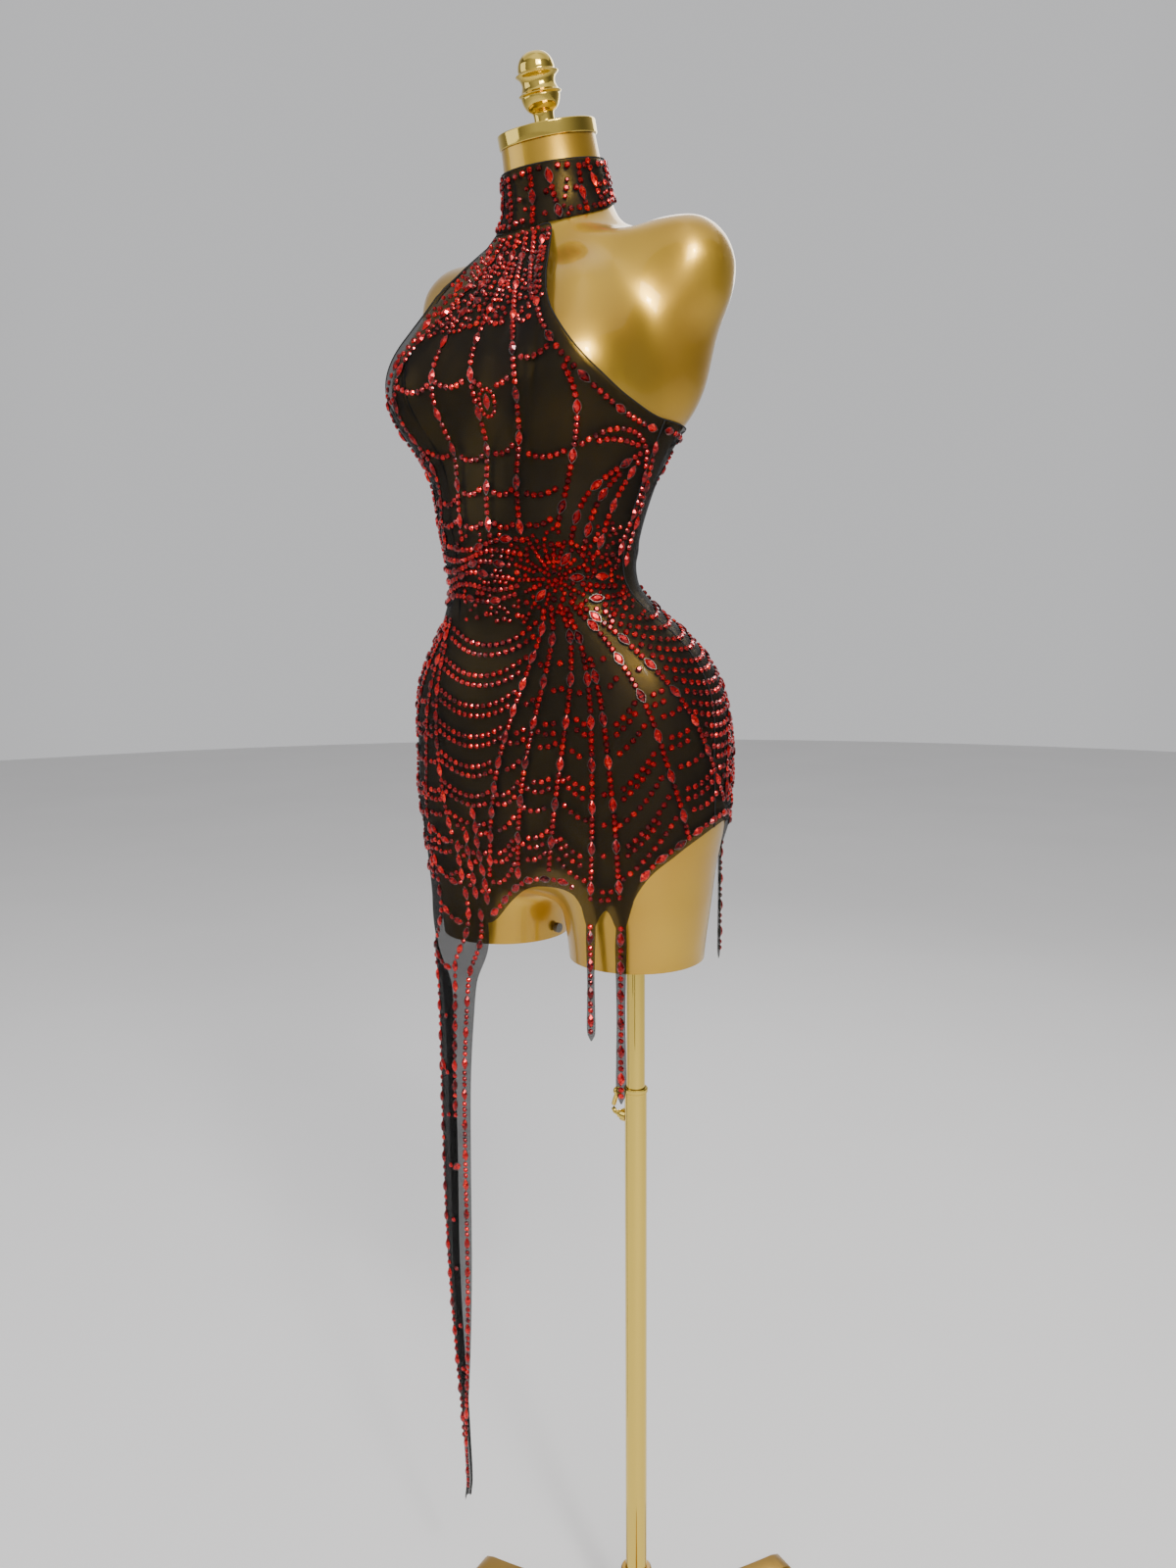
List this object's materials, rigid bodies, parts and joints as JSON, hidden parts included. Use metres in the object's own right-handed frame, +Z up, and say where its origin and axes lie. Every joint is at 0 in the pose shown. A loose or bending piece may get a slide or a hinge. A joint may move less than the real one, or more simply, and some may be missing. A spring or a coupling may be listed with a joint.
{
  "type": "crystal mesh stage dress on a dress form stand",
  "caption": "Sheer halter mini dress with crystal lines, dripping hem and a long tail, worn by a limbless dress form on a telescopic pole with a low splayed base.",
  "frame": {"origin": "the pole's axis on the floor, under the middle of the base hub", "axes": "+Z up along the pole; the form faces -Y; +X is the form's own left side"},
  "size_m": [0.3985, 0.3601, 1.5871],
  "materials": {
    "satin_gold_shell": "satin metallic gold paint under clear lacquer on a moulded glass-fibre shell",
    "polished_gold_fittings": "polished gold plating",
    "polished_gold_tube": "polished gold plating on steel tube",
    "gold_base": "gold lacquer on steel",
    "bolt_steel": "plain steel",
    "black_stretch_mesh": "sheer black stretch mesh",
    "red_crystal": "foil-backed faceted glass, deep red",
    "silver_setting": "stamped and plated claw settings"
  },
  "bodies": {
    "base": {"hub": "gold_base", "arm_1": "gold_base", "arm_2": "gold_base", "arm_3": "gold_base", "post": "polished_gold_tube"},
    "lever": {"clamp_lever": "polished_gold_tube"},
    "mast": {"mast": "polished_gold_tube"},
    "figure": {"dress_form": "satin_gold_shell", "neck_cap": "polished_gold_fittings", "finial": "polished_gold_fittings", "stump_bolt": "bolt_steel", "collar": "black_stretch_mesh", "front_panel": "black_stretch_mesh", "back_panel": "black_stretch_mesh"}
  },
  "joints": [
    {"name": "height", "type": "slide", "parent": "base", "child": "mast", "axis": [0, 0, 1], "range_m": [-0.05, 0.2]},
    {"name": "swivel", "type": "hinge", "parent": "mast", "child": "figure", "pos_m": [0, 0, 0.76], "axis": [0, 0, 1], "continuous": true},
    {"name": "clamp_turn", "type": "hinge", "parent": "base", "child": "lever", "pos_m": [-0.0165, 0, 0.589], "axis": [-1, 0, 0], "range_deg": [0, 270]}
  ]
}
